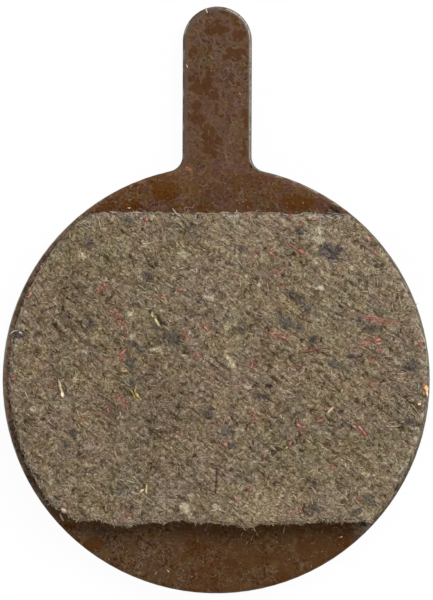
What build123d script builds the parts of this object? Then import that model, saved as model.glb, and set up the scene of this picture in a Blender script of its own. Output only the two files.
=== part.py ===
"""A round bicycle disc brake pad with a finger tab.

A stamped steel backing plate carries a film of cured bonding resin on its front face, and the film
holds a moulded fibre friction lining. The pad lies on its back: the origin is the centre of the disc
on the plate's back face, +Z points out of the lining towards the rotor, and +Y runs along the tab.
All sizes are in millimetres.
"""

import os

from build123d import *

# Backing plate
DISC_DIAMETER = 21.0  # round body, which sits in the calliper's pocket
PLATE_THICKNESS = 1.8
TAB_WIDTH = 3.4  # the tip is a full round of this width
TAB_REACH = 18.35  # from the disc's centre to the tip of the tab
TAB_ROOT_RADIUS = 0.75  # blend between the tab's sides and the disc
DIE_ROLL = 0.12  # rounded edge that the punch draws in around the front face
BACK_CHAMFER = 0.08  # deburred edge around the back face

# Adhesive film
FILM_THICKNESS = 0.06

# Friction lining, measured from its own centre
LINING_THICKNESS = 2.0
LINING_RIM = 0.3  # bare plate outside the lining's two round ends
LINING_ABOVE = 8.05  # centre to the straight edge on the tab's side
LINING_BELOW = 7.1  # centre to the straight edge on the far side
LINING_CORNER_RADIUS = 0.6  # where the straight edges meet the round ends
LINING_EDGE_RADIUS = 0.2  # softened edge around the rubbing face
LINING_SHIFT_X = 0.15  # the mould set the lining a little off the disc's centre
LINING_SHIFT_Y = 0.10

# Heights of the faces that the pieces seat on
FILM_SEAT = PLATE_THICKNESS
LINING_SEAT = FILM_SEAT + FILM_THICKNESS

os.makedirs("parts", exist_ok=True)

# Backing plate: one blanked outline, drawn in on the front by the punch and deburred on the back
with BuildPart() as backing_plate:
    with BuildSketch() as blank:
        Circle(DISC_DIAMETER / 2)
        tip_centre = TAB_REACH - TAB_WIDTH / 2
        with Locations((0, tip_centre / 2)):
            SlotCenterToCenter(tip_centre, TAB_WIDTH, rotation=90)
        tab_roots = blank.vertices().group_by(Axis.Y)[-2]
        fillet(tab_roots, TAB_ROOT_RADIUS)
    extrude(amount=PLATE_THICKNESS)
    fillet(backing_plate.faces().sort_by(Axis.Z)[-1].edges(), DIE_ROLL)
    chamfer(backing_plate.faces().sort_by(Axis.Z)[0].edges(), BACK_CHAMFER)

# Adhesive film: covers the flat of the plate's front face, up to the bare rolled edge
front_flat = backing_plate.faces().sort_by(Axis.Z)[-1]
with BuildPart() as adhesive_film:
    extrude(front_flat, amount=FILM_THICKNESS)

# Friction lining: a disc cut off by two straight edges, moulded onto the film
with BuildPart() as friction_lining:
    with BuildSketch(Plane.XY.offset(LINING_SEAT)) as lining_outline:
        lining_radius = DISC_DIAMETER / 2 - LINING_RIM
        with Locations((LINING_SHIFT_X, LINING_SHIFT_Y)):
            Circle(lining_radius)
        band_middle = LINING_SHIFT_Y + (LINING_ABOVE - LINING_BELOW) / 2
        with Locations((LINING_SHIFT_X, band_middle)):
            Rectangle(2 * lining_radius, LINING_ABOVE + LINING_BELOW, mode=Mode.INTERSECT)
        corners_by_height = lining_outline.vertices().group_by(Axis.Y)
        fillet(corners_by_height[0] + corners_by_height[-1], LINING_CORNER_RADIUS)
    extrude(amount=LINING_THICKNESS)
    fillet(friction_lining.faces().sort_by(Axis.Z)[-1].edges(), LINING_EDGE_RADIUS)

backing_plate.part.label = "backing_plate"
adhesive_film.part.label = "adhesive_film"
friction_lining.part.label = "friction_lining"

export_step(backing_plate.part, "parts/backing_plate.step")
export_step(adhesive_film.part, "parts/adhesive_film.step")
export_step(friction_lining.part, "parts/friction_lining.step")
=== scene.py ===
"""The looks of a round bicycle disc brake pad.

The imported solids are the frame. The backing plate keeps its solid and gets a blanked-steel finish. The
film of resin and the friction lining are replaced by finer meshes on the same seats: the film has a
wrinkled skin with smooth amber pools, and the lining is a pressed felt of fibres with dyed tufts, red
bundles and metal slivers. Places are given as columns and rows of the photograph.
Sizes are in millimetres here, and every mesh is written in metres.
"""

import math

import bpy
import numpy as np
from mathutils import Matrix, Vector
from mathutils.geometry import delaunay_2d_cdt


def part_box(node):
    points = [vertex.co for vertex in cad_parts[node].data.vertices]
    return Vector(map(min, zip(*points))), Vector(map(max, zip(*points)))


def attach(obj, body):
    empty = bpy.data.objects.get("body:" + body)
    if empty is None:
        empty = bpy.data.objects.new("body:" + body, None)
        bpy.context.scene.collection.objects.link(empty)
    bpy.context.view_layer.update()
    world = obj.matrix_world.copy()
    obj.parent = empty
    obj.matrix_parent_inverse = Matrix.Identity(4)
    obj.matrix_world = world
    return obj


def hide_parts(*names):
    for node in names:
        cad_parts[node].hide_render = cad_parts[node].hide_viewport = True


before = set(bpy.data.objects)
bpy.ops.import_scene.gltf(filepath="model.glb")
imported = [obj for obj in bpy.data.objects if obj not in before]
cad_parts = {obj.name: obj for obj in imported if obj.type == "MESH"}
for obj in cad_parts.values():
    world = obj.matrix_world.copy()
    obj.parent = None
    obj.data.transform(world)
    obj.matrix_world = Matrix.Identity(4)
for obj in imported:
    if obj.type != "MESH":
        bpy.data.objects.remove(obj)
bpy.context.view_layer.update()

MM = 0.001
UP = np.array([0.0, 0.0, 1.0])

# Heights of the faces that the pieces seat on
PLATE_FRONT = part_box("backing_plate")[1].z / MM
FILM_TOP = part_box("adhesive_film")[1].z / MM
LINING_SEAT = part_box("friction_lining")[0].z / MM
LINING_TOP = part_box("friction_lining")[1].z / MM

# The photograph: a square-on view from above, and the pixel that the disc's centre falls on
IMAGE_WIDTH = 433
IMAGE_HEIGHT = 600
PIXELS_PER_MM = 20.355  # at the plate's front face
DISC_PIXEL = (216.2, 379.8)
CAMERA_DISTANCE = 350.0  # above the plate's front face
CAMERA_ROLL = 0.2  # in degrees: the pad lies a little askew in the picture


def turned(x, y, heading):
    """Coordinates along and across a heading in degrees."""
    angle = math.radians(heading)
    return x * math.cos(angle) + y * math.sin(angle), y * math.cos(angle) - x * math.sin(angle)


CAMERA_X, CAMERA_Y = turned(
    (IMAGE_WIDTH / 2 - DISC_PIXEL[0]) / PIXELS_PER_MM,
    (DISC_PIXEL[1] - IMAGE_HEIGHT / 2) / PIXELS_PER_MM,
    -CAMERA_ROLL,
)


def from_pixel(column, row, height=LINING_TOP):
    """The place on the part, at one height, that shows at a pixel of the photograph."""
    shrink = 1 - (height - PLATE_FRONT) / CAMERA_DISTANCE
    right = (column - IMAGE_WIDTH / 2) / PIXELS_PER_MM * shrink
    up = (IMAGE_HEIGHT / 2 - row) / PIXELS_PER_MM * shrink
    x, y = turned(right, up, -CAMERA_ROLL)
    return np.array([CAMERA_X + x, CAMERA_Y + y])


# Noise and outlines
NOISE_CELLS = 256
SAME_LEVEL = 0.001  # corners this near a height lie at it
POINTS_AT_ONCE = 4000
FIELD_CELL = 0.1
CELL_END = 0.001  # keeps points at the field's far end in its last cell


def blend(first, second, share):
    """Something between two values, or between two rows of colours."""
    return first * (1 - share) + second * share


def ramped(value, start, end):
    """A share that goes from 0 at the start to 1 at the end."""
    return np.clip((value - start) / (end - start), 0, 1)


def falloff(gap, width):
    """A share that fades smoothly from 1 over about one width."""
    return np.exp(-((gap / width) ** 2))


def drawn(draw, count, middle, spread, low, high):
    """Random values from one kind of draw, held between two limits."""
    return np.clip(draw(middle, spread, count), low, high)


def noise(x, y, cell, seed):
    """Smooth noise from -1 to 1, with features about one cell wide."""
    table = np.random.default_rng(seed).uniform(-1, 1, (NOISE_CELLS, NOISE_CELLS))
    column = np.floor(x / cell).astype(int)
    row = np.floor(y / cell).astype(int)
    right = x / cell - column
    above = y / cell - row
    right = right * right * (3 - 2 * right)
    above = above * above * (3 - 2 * above)
    left_column = column % NOISE_CELLS
    right_column = (column + 1) % NOISE_CELLS
    rows = (row % NOISE_CELLS, (row + 1) % NOISE_CELLS)
    low, high = (blend(table[left_column, line], table[right_column, line], right) for line in rows)
    return blend(low, high, above)


def layered(x, y, *layers):
    """A sum of noises, each given by its strength, the size of its features and its seed."""
    return sum(strength * noise(x, y, cell, seed) for strength, cell, seed in layers)


def outline_of(node, height):
    """A node's outline at one height, as points in order around the disc's centre."""
    corners = np.array([v.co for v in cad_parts[node].data.vertices]) / MM
    level = corners[np.abs(corners[:, 2] - height) < SAME_LEVEL]
    loop = np.unique(level[:, :2].round(3), axis=0)
    return loop[np.argsort(np.arctan2(loop[:, 1], loop[:, 0]))]


def evenly(loop, spacing):
    """The closed loop again, with points at even distances."""
    closed = np.vstack([loop, loop[:1]])
    reach = np.concatenate([[0], np.cumsum(np.linalg.norm(np.diff(closed, axis=0), axis=1))])
    stops = np.linspace(0, reach[-1], int(reach[-1] / spacing), endpoint=False)
    return np.stack([np.interp(stops, reach, closed[:, 0]), np.interp(stops, reach, closed[:, 1])], axis=1)


def outward(loop):
    """Unit normals that point out of a loop which runs anticlockwise."""
    along = np.roll(loop, -1, axis=0) - np.roll(loop, 1, axis=0)
    normal = np.stack([along[:, 1], -along[:, 0]], axis=1)
    return normal / np.linalg.norm(normal, axis=1, keepdims=True)


def depth_inside(points, loop):
    """How far each point lies inside the loop, negative outside it."""
    run = np.roll(loop, -1, axis=0) - loop
    depth = np.empty(len(points))
    for part in np.array_split(np.arange(len(points)), len(points) // POINTS_AT_ONCE + 1):
        offset = points[part, None, :] - loop
        share = np.clip((offset * run).sum(2) / (run**2).sum(1), 0, 1)
        gap = np.linalg.norm(offset - share[..., None] * run, axis=2).min(1)
        rises = (offset[..., 1] < 0) != (offset[..., 1] < run[:, 1])
        slope = np.divide(run[:, 0], run[:, 1], out=np.zeros(len(run)), where=run[:, 1] != 0)
        crossed = rises & (offset[..., 0] < offset[..., 1] * slope)
        depth[part] = np.where(crossed.sum(1) % 2 == 1, gap, -gap)
    return depth


def depth_field(loop, margin=1.0):
    """A quick depth_inside for one loop: depths on a grid, read between its points."""
    low = loop.min(0) - margin
    counts = np.ceil((loop.max(0) + margin - low) / FIELD_CELL).astype(int) + 2
    x, y = np.meshgrid(np.arange(counts[0]), np.arange(counts[1]), indexing="ij")
    grid = low + np.stack([x.ravel(), y.ravel()], axis=1) * FIELD_CELL
    depths = depth_inside(grid, loop).reshape(counts)

    def depth_at(points):
        spot = np.clip((points - low) / FIELD_CELL, 0, counts - 1 - CELL_END)
        column, row = spot.astype(int).T
        right, above = (spot % 1).T
        lower = blend(depths[column, row], depths[column + 1, row], right)
        higher = blend(depths[column, row + 1], depths[column + 1, row + 1], right)
        return blend(lower, higher, above)

    return depth_at


def rounded_drop(depth, radius):
    """How far a rounded edge lies below its face, at points some depth inside the outline."""
    inner = np.clip(depth, 0, radius)
    return radius - np.sqrt(radius**2 - (radius - inner) ** 2)


# Meshes
BAKE_MAP = "OFBake"
CLEAR_OF_EDGE = 0.6  # inner points keep this many spacings clear of an outline
MERGE_DISTANCE = 1e-5
TUBE_TAPER = 0.4  # how bluntly a tube's ends come to a point
TILT = 1e-3  # a little off upright, so that upright tubes have a sideways too
TINY = 1e-9  # keeps lengths of nothing out of divisions
MAP_MARGIN = 0.1  # empty border of each tube's cell in the map


def set_colours(mesh, colours):
    """Gives each point of a mesh a colour."""
    layer = mesh.attributes.new("colour", "FLOAT_COLOR", "POINT")
    solid = np.column_stack([colours, np.ones(len(colours))])
    layer.data.foreach_set("color", solid.astype(np.float32).ravel())


def set_map(mesh, map_points):
    """Lays out a mesh for the colour bake, one place for each point."""
    corner_points = np.empty(len(mesh.loops), np.int32)
    mesh.loops.foreach_get("vertex_index", corner_points)
    layer = mesh.uv_layers.new(name=BAKE_MAP)
    layer.data.foreach_set("uv", np.asarray(map_points, np.float32)[corner_points].ravel())


def add_object(name, data):
    """A new object in the scene."""
    made = bpy.data.objects.new(name, data)
    bpy.context.scene.collection.objects.link(made)
    return made


def add_piece(name, points, faces, material, colours, map_points=None):
    """A smooth mesh that rides on the pad, from points in millimetres and a colour for each."""
    mesh = bpy.data.meshes.new(name)
    mesh.from_pydata((np.asarray(points) * MM).tolist(), [], [list(face) for face in faces])
    set_colours(mesh, colours)
    if map_points is not None:
        set_map(mesh, map_points)
    mesh.polygons.foreach_set("use_smooth", [True] * len(mesh.polygons))
    mesh.materials.append(material)
    mesh.validate()
    piece = add_object(name, mesh)
    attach(piece, "root")
    return piece


def triangulated(loop, inner):
    """Points and triangles of the flat area inside a loop. The loop's own points come first."""
    points = np.vstack([loop, inner])
    count = len(loop)
    edges = [(here, (here + 1) % count) for here in range(count)]
    corners = [Vector(point) for point in points]
    found = delaunay_2d_cdt(corners, edges, [list(range(count))], 1, MERGE_DISTANCE)
    return np.array([tuple(point) for point in found[0]]), [tuple(face) for face in found[2]]


def add_walls(faces, face_points, loop_points, steps):
    """Adds walls of rings of points under a face, whose loop comes first, and a flat bottom."""
    rings = [np.arange(loop_points)]
    rings += [face_points + step * loop_points + np.arange(loop_points) for step in range(steps)]
    for upper, lower in zip(rings, rings[1:]):
        faces += list(zip(lower, np.roll(lower, -1), np.roll(upper, -1), upper))
    faces.append(tuple(rings[-1][::-1]))


def hex_grid(loop, spacing, rng, jitter=0.25):
    """Points in a jittered honeycomb over the loop's box."""
    low, high = loop.min(0), loop.max(0)
    columns = np.arange(low[0], high[0], spacing)
    rows = np.arange(low[1], high[1], spacing * math.sqrt(0.75))
    x, y = np.meshgrid(columns, rows)
    x[::2] += spacing / 2
    flat = np.stack([x.ravel(), y.ravel()], axis=1)
    return flat + rng.uniform(-jitter, jitter, flat.shape) * spacing


def tubes(paths, widths, flatness=0.7, sides=3):
    """Closed tubes with pointed ends along many paths at once, given as count x points x 3."""
    count, points = paths.shape[:2]
    along = np.gradient(paths, axis=1)
    along /= np.linalg.norm(along, axis=2, keepdims=True) + TINY
    across = np.cross(along, UP + TILT)
    across /= np.linalg.norm(across, axis=2, keepdims=True) + TINY
    lift = np.cross(across, along)
    around = np.arange(sides) / sides * math.tau + math.pi / 2
    radius = np.asarray(widths)[:, None] / 2 * np.sin(np.linspace(0, math.pi, points))[None] ** TUBE_TAPER
    sideways = np.cos(around)[:, None] * across[:, 1:-1, None, :]
    upward = np.sin(around)[:, None] * lift[:, 1:-1, None, :] * flatness
    rings = paths[:, 1:-1, None, :] + radius[:, 1:-1, None, None] * (sideways + upward)
    tube_points = np.concatenate([paths[:, :1], rings.reshape(count, -1, 3), paths[:, -1:]], axis=1)
    each = tube_points.shape[1]
    ring = 1 + np.arange(points - 2)[:, None] * sides + np.arange(sides)
    beside = np.roll(ring, -1, axis=1)
    near = np.stack([np.zeros(sides, int), beside[0], ring[0]], axis=1)
    far = np.stack([np.full(sides, each - 1), ring[-1], beside[-1]], axis=1)
    lower = np.stack([ring[:-1], beside[:-1], beside[1:]], axis=2).reshape(-1, 3)
    upper = np.stack([ring[:-1], beside[1:], ring[1:]], axis=2).reshape(-1, 3)
    one = np.vstack([near, lower, upper, far])
    faces = (one[None] + np.arange(count)[:, None, None] * each).reshape(-1, 3)
    return tube_points.reshape(-1, 3), faces, each


def strip_map(count, points, sides=3):
    """Map coordinates that give each tube a small cell of its own."""
    cells = math.ceil(math.sqrt(count))
    reach = np.concatenate([[0.0], np.repeat(np.arange(1, points - 1) / (points - 1), sides), [1.0]])
    turn = np.concatenate([[0.5], np.tile(np.arange(sides) / (sides - 1), points - 2), [0.5]])
    cell = np.stack([np.arange(count) % cells, np.arange(count) // cells], axis=1)
    local = MAP_MARGIN + (1 - 2 * MAP_MARGIN) * np.stack([reach, turn], axis=1)
    return ((cell[:, None] + local[None]) / cells).reshape(-1, 2)


# Material nodes
GRAIN_LOW = 0.3  # nearly all of a noise node's values lie between these two
GRAIN_HIGH = 0.7


def new_material(name):
    """A node material, its tree and its shader."""
    material = bpy.data.materials.new(name)
    material.use_nodes = True
    tree = material.node_tree
    return material, tree, tree.nodes["Principled BSDF"]


def feed(tree, made, sockets):
    """Links or sets some of a node's sockets."""
    for socket, source in sockets.items():
        if isinstance(source, bpy.types.NodeSocket):
            tree.links.new(source, made.inputs[socket])
        else:
            made.inputs[socket].default_value = source


def node(tree, kind, sockets=None, **settings):
    """A node with its settings, and its sockets linked or set."""
    made = tree.nodes.new(kind)
    for name, value in settings.items():
        setattr(made, name, value)
    feed(tree, made, sockets or {})
    return made


def ramp(tree, value, stops):
    """A colour ramp over (position, colour) stops."""
    made = node(tree, "ShaderNodeValToRGB", {"Fac": value})
    while len(made.color_ramp.elements) < len(stops):
        made.color_ramp.elements.new(0.5)
    for element, (position, colour) in zip(made.color_ramp.elements, stops):
        element.position = position
        element.color = (*colour, 1)
    return made.outputs["Color"]


def mixed(tree, factor, first, second, way="MIX"):
    """Two colours mixed by a factor."""
    sockets = {0: factor, 6: first, 7: second}
    return node(tree, "ShaderNodeMix", sockets, data_type="RGBA", blend_type=way).outputs[2]


def place(tree, stretch=(1, 1, 1), heading=0.0):
    """Coordinates on the part in millimetres, turned and stretched."""
    spot = node(tree, "ShaderNodeTexCoord").outputs["Object"]
    turn = (0, 0, -math.radians(heading))
    spot = node(tree, "ShaderNodeMapping", {"Vector": spot, "Rotation": turn}).outputs["Vector"]
    scale = [1 / MM / factor for factor in stretch]
    return node(tree, "ShaderNodeMapping", {"Vector": spot, "Scale": scale}).outputs["Vector"]


def grain(tree, size, where, detail=3.0, roughness=0.55):
    """Noise whose features are about one size wide, in millimetres."""
    sockets = {"Vector": where, "Scale": 1 / size, "Detail": detail, "Roughness": roughness}
    return node(tree, "ShaderNodeTexNoise", sockets).outputs["Fac"]


def bump(tree, shader, height, depth, strength=1.0):
    """Fine relief in millimetres on a shader."""
    made = node(tree, "ShaderNodeBump", {"Height": height, "Distance": depth * MM, "Strength": strength})
    tree.links.new(made.outputs["Normal"], shader.inputs["Normal"])


def ranged(tree, value, low, high, to_low=0.0, to_high=1.0):
    """A value's range mapped to another range, clamped."""
    sockets = {"Value": value, "From Min": low, "From Max": high, "To Min": to_low, "To Max": to_high}
    return node(tree, "ShaderNodeMapRange", sockets).outputs["Result"]


def from_grain(tree, value, low, high):
    """A noise node's usual range mapped to another range."""
    return ranged(tree, value, GRAIN_LOW, GRAIN_HIGH, low, high)


def combined(tree, way, first, second):
    """Two values added or multiplied."""
    return node(tree, "ShaderNodeMath", {0: first, 1: second}, operation=way).outputs[0]


def shaded(tree, colour, value, low, high):
    """A colour made darker and lighter by a noise."""
    shade = from_grain(tree, value, low, high)
    shades = node(tree, "ShaderNodeCombineColor", {"Red": shade, "Green": shade, "Blue": shade})
    return mixed(tree, 1.0, colour, shades.outputs["Color"], "MULTIPLY")


def own_colour(tree):
    """The colour that the mesh carries at each point."""
    return node(tree, "ShaderNodeAttribute", attribute_name="colour").outputs["Color"]


# Materials
GRAIN_HEADING = -36.0  # most of the felt's fibres run from upper left to lower right
STEEL_TONES = [(0.35, (0.205, 0.183, 0.150)), (0.5, (0.260, 0.236, 0.200)), (0.65, (0.315, 0.290, 0.248))]
SMEARED_RESIN = (0.078, 0.042, 0.020, 1.0)
SMEAR_COVER = 0.85
SMEAR_BORDER = (0.32, 0.2)  # depths under the plate's front between which the smears end
# The shifts also paint shade: many smears below and few right of the tab darken the rolled edge on the side
# away from the lamp and leave it bare on the side towards it.
SMEAR_AND_SHADE_SHIFTS = [  # along an axis: from and to where the share of smears changes, and by how much there
    ("X", -0.5, 1.2, 0.05, -0.1),  # few right of the tab
    ("X", 1.9, 3.5, 0.0, 0.1),  # more on the right shoulder
    ("X", -8.0, -5.5, -0.22, 0.0),  # few at the two ends
    ("X", 8.5, 10.0, 0.0, -0.15),
    ("Y", -5.5, -1.0, 0.3, 0.0),  # many below
]


def smeared_and_shaded(tree, everywhere):
    """Share of the steel under smeared resin: patches on the rolled edge that run down unevenly. Massed below
    and thinned right of the tab, they are partly painted shade.
    """
    spot = node(tree, "ShaderNodeSeparateXYZ", {"Vector": everywhere}).outputs
    share = grain(tree, 0.6, everywhere, detail=5)
    for axis, start, end, at_start, at_end in SMEAR_AND_SHADE_SHIFTS:
        share = combined(tree, "ADD", share, ranged(tree, spot[axis], start, end, at_start, at_end))
    share = ranged(tree, share, 0.44, 0.58, 0, SMEAR_COVER)
    runs = from_grain(tree, grain(tree, 0.5, place(tree, stretch=(1, 1, 3)), detail=4), -0.12, 0.12)
    height = combined(tree, "ADD", spot["Z"], runs)
    rolled = ranged(tree, height, PLATE_FRONT - SMEAR_BORDER[0], PLATE_FRONT - SMEAR_BORDER[1])
    return combined(tree, "MULTIPLY", share, rolled)


def steel_material():
    """Blanked steel: dark and dull, streaked down its sides, with resin smeared over its rolled edge; the
    smears are partly painted shade.
    """
    material, tree, shader = new_material("blanked_steel")
    everywhere = place(tree)
    streaks = grain(tree, 0.12, place(tree, stretch=(1, 1, 12)), detail=4)
    scratches = grain(tree, 0.10, place(tree, stretch=(1, 14, 1), heading=24), detail=2)
    colour = ramp(tree, grain(tree, 1.1, everywhere, detail=5), STEEL_TONES)
    colour = shaded(tree, colour, streaks, 0.7, 1.15)
    colour = shaded(tree, colour, scratches, 0.85, 1.12)
    smear_and_shade = smeared_and_shaded(tree, everywhere)
    feed(tree, shader, {
        "Base Color": mixed(tree, smear_and_shade, colour, SMEARED_RESIN),
        "Metallic": ranged(tree, smear_and_shade, 0, SMEAR_COVER, 0.8, 0.05),
        "Specular IOR Level": ranged(tree, smear_and_shade, 0, SMEAR_COVER, 0.5, 0.05),
        "Roughness": from_grain(tree, scratches, 0.38, 0.58),
    })
    bump(tree, shader, streaks, depth=0.02)
    return material


def resin_material():
    """Cured brown resin with a finely crinkled skin."""
    material, tree, shader = new_material("bonding_resin")
    fine = grain(tree, 0.07, place(tree), detail=4, roughness=0.7)
    feed(tree, shader, {
        "Base Color": shaded(tree, own_colour(tree), fine, 0.82, 1.18),
        "Roughness": from_grain(tree, fine, 0.42, 0.6),
        "Specular IOR Level": 0.06,
    })
    bump(tree, shader, fine, depth=0.010, strength=0.5)
    return material


def felt_material():
    """The pressed body of the lining, between its flakes."""
    material, tree, shader = new_material("pressed_felt")
    strands = grain(tree, 0.09, place(tree, stretch=(3, 1, 1), heading=GRAIN_HEADING), detail=4)
    pits = grain(tree, 0.16, place(tree), detail=4, roughness=0.7)
    colour = shaded(tree, own_colour(tree), strands, 0.75, 1.25)
    feed(tree, shader, {
        "Base Color": shaded(tree, colour, pits, 0.65, 1.2),
        "Roughness": from_grain(tree, pits, 0.95, 0.75),
        "Specular IOR Level": 0.15,
    })
    bump(tree, shader, strands, depth=0.04, strength=0.7)
    return material


def fibre_material(name, roughness=0.75, specular=0.2):
    """Fibres or grains in their own colours, streaked and pitted."""
    material, tree, shader = new_material(name)
    streaks = grain(tree, 0.08, place(tree), detail=3)
    feed(tree, shader, {
        "Base Color": shaded(tree, own_colour(tree), streaks, 0.62, 1.38),
        "Roughness": from_grain(tree, streaks, roughness - 0.1, roughness + 0.1),
        "Specular IOR Level": specular,
    })
    return material


# Colours of the felt, from dark gaps to pale fibres, and how its two hues shift them
FELT_TONES = [
    (0.0, (0.048, 0.027, 0.012)),
    (0.35, (0.150, 0.105, 0.062)),
    (0.7, (0.314, 0.246, 0.171)),
    (1.0, (0.546, 0.451, 0.328)),
]
FELT_BALANCE = np.array([1.008, 0.996, 0.950])
PINK_SHIFT = np.array([0.14, -0.06, 0.0])
YELLOW_SHIFT = np.array([0.12, 0.12, -0.20])

# Lights and darks of the felt
FELT_REACH = 8.0  # about as far as the straight edges are from the disc's centre
SHADES = [  # darker and lighter areas: column and row, spread in millimetres and change of tone
    (172, 392, 2.2, -0.4), (265, 515, 1.4, 0.8), (45, 440, 1.5, 0.25), (270, 238, 1.9, 0.25),
    (145, 490, 1.4, 0.2), (95, 488, 1.4, -0.3),
]
PIT_SHADE = 5.8
SCRATCH_SHADE = 3.0
SCRATCH_STRETCH = 9  # how much longer than wide the scratches are
PALE_BORDER = (0.42, 0.07)  # depths inside the lining's outline between which it is painted paler: a painted highlight on its rounded edge
PALE_ENDS = (7.5, 9.0)  # distances to the left and right between which that border sets in
PALE_TOP = (7.4, 7.6)  # and the same towards the tab

# Dyed tufts: column and row, half length and half width in millimetres, and heading
NAVY = (0.066, 0.058, 0.064)
NAVY_TUFTS = [
    (331, 252, 0.60, 0.38, -15), (243, 250, 0.20, 0.15, -20), (300, 230, 0.22, 0.16, 0),
    (304, 304, 0.50, 0.17, -40), (278, 313, 0.22, 0.16, -30), (299, 328, 0.26, 0.20, -40),
    (313, 340, 0.25, 0.20, 20), (360, 321, 0.18, 0.15, 0),
    (353, 357, 0.34, 0.17, 10), (411, 366, 0.32, 0.24, -20), (260, 398, 0.38, 0.20, 10),
    (149, 276, 0.26, 0.20, 0), (89, 243, 0.26, 0.20, -20),
    (91, 324, 0.30, 0.20, -20), (156, 327, 0.26, 0.20, 0),
    (131, 344, 0.32, 0.20, 0), (140, 350, 0.26, 0.17, -20), (132, 382, 0.30, 0.16, 0),
    (128, 220, 0.26, 0.20, 0), (191, 226, 0.22, 0.16, 20), (73, 433, 0.20, 0.16, 30),
    (68, 443, 0.20, 0.16, -20), (228, 431, 0.36, 0.24, 15), (120, 491, 0.30, 0.20, 0),
    (369, 501, 0.32, 0.26, -30), (359, 512, 0.26, 0.16, 20),
    (410, 422, 0.30, 0.20, -20), (336, 213, 0.40, 0.14, -15), (17, 335.5, 0.22, 0.12, -10),
]
GREY = (0.075, 0.067, 0.057)
GREY_TUFTS = [
    (291, 294, 0.45, 0.20, -20), (286, 321, 0.36, 0.30, -30), (242, 328, 0.32, 0.32, 0),
    (173, 337, 0.42, 0.32, 30), (130, 362, 0.30, 0.26, 60), (338, 366, 0.55, 0.22, -30),
    (371, 327, 0.34, 0.24, -20), (19, 334, 0.36, 0.22, 10), (315, 508, 0.36, 0.30, 0),
    (208, 414, 0.34, 0.24, 0), (127, 394, 0.20, 0.16, 0),
    (226, 318, 0.16, 0.16, 0), (233, 446, 0.26, 0.20, -20),
]
BLUE = (0.112, 0.118, 0.120)
BLUE_TUFTS = [(285, 322, 0.22, 0.20, -30), (342.5, 425, 0.12, 0.10, 0), (358, 316, 0.12, 0.09, -40)]
CREAM = (0.750, 0.675, 0.465)
CREAM_TUFTS = [
    (319, 240, 0.26, 0.18, 0), (319, 231, 0.20, 0.16, 0), (316, 260, 0.14, 0.14, 0),
    (351, 268, 0.10, 0.10, 0), (259, 284, 0.10, 0.15, 0), (320, 288, 0.20, 0.12, 0),
    (227, 328, 0.13, 0.13, 0), (231, 363, 0.30, 0.14, -60), (247, 387, 0.22, 0.13, -20),
    (396, 363, 0.22, 0.08, -10), (145, 244, 0.12, 0.17, 0), (81, 256, 0.17, 0.21, 0),
    (210, 297, 0.25, 0.17, 0), (183, 255, 0.28, 0.15, 0), (130, 314, 0.13, 0.13, 0),
    (132, 337, 0.13, 0.13, 0), (156, 350, 0.26, 0.11, 0), (75, 380, 0.12, 0.12, 0),
    (86, 465, 0.12, 0.10, 0), (163, 459, 0.12, 0.12, 0), (185, 508, 0.23, 0.21, 0),
    (191, 495, 0.14, 0.12, 0), (217, 508, 0.19, 0.17, 0), (51, 482, 0.12, 0.12, 0),
    (34, 409, 0.15, 0.15, 0),
]
DOT = (0.094, 0.072, 0.076)
DOTS = [  # dark dots: column and row, and radius in millimetres
    (199, 301, 0.11), (73, 272.5, 0.09), (314, 483, 0.13), (131.5, 507, 0.12), (342.5, 425, 0.09),
    (412, 431, 0.08), (298, 229.5, 0.11), (359, 320.5, 0.11), (302, 340, 0.11), (313, 341, 0.14),
    (351, 357, 0.13), (90, 324, 0.14), (66, 446, 0.11), (74, 432, 0.12), (73, 490, 0.12),
]
BROWN = (0.120, 0.066, 0.024)
BROWN_TUFTS = [(221.5, 461, 0.20, 0.11, 70), (219.5, 467, 0.12, 0.09, 90), (119, 379, 0.22, 0.18, 0)]

# Red bundles: column and row, length in millimetres and heading
RED_BUNDLES = [
    (300, 251, 0.70, -20), (289, 246, 0.25, -40), (277, 272, 0.55, -12), (235, 278, 0.22, 20),
    (283, 285, 0.35, -40), (379, 320, 1.45, -12), (371, 341, 0.95, 8), (380, 348, 0.35, -50),
    (275, 335, 0.75, 5), (285, 337, 0.60, -15), (313, 350, 0.50, 11), (253, 365, 0.42, 60),
    (298, 366, 0.20, -30), (370, 359, 0.35, -40), (420, 344, 0.40, -50), (370, 383, 0.50, -50),
    (247, 216, 0.40, 50), (290, 217, 0.30, 30), (302, 224, 0.25, -60), (313, 220, 0.30, 10),
    (258, 252, 0.25, 10), (271, 253, 0.25, 40), (369, 238, 0.40, -60), (376, 253, 0.40, -60),
    (101, 289, 0.60, 30), (107, 286, 0.40, -20), (112, 312, 0.60, -30), (118, 318, 0.75, -50),
    (124, 325, 0.45, -75), (124, 351, 0.60, 75), (122, 358, 0.30, 50), (100, 358, 0.25, -30),
    (206, 328, 0.70, -35), (187, 335, 0.55, -55), (163, 298, 0.45, 0), (180, 289, 0.30, 0),
    (13, 377, 0.30, 20), (52, 387, 0.25, 0), (197, 356, 0.45, 0), (119, 396, 0.40, -10),
    (145, 219, 0.30, -60), (123, 403, 0.45, 5), (108, 411, 0.30, 80), (84, 419, 0.20, -30),
    (177, 433, 0.30, 20), (226, 443, 0.35, 100), (254, 417, 0.45, -50), (299, 425, 0.40, -60),
    (319, 421, 0.40, 15), (290, 443, 0.25, 80), (362, 431, 0.70, -45), (334, 467, 0.20, -30),
    (236, 499, 0.30, -60), (250, 490, 0.30, 20), (358, 499, 0.25, 10), (126, 516, 0.30, 30),
    (218, 424, 0.30, -50), (300, 510, 0.30, -40),
]
RED_TONES = [(0.0, (0.26, 0.112, 0.080)), (0.5, (0.36, 0.165, 0.120)), (1.0, (0.56, 0.29, 0.225))]
RED = (0.42, 0.195, 0.137)
RED_TUFTS = [
    (column, row, 0.5 * length, 0.07 + 0.06 * length, heading)
    for column, row, length, heading in RED_BUNDLES
]
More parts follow.
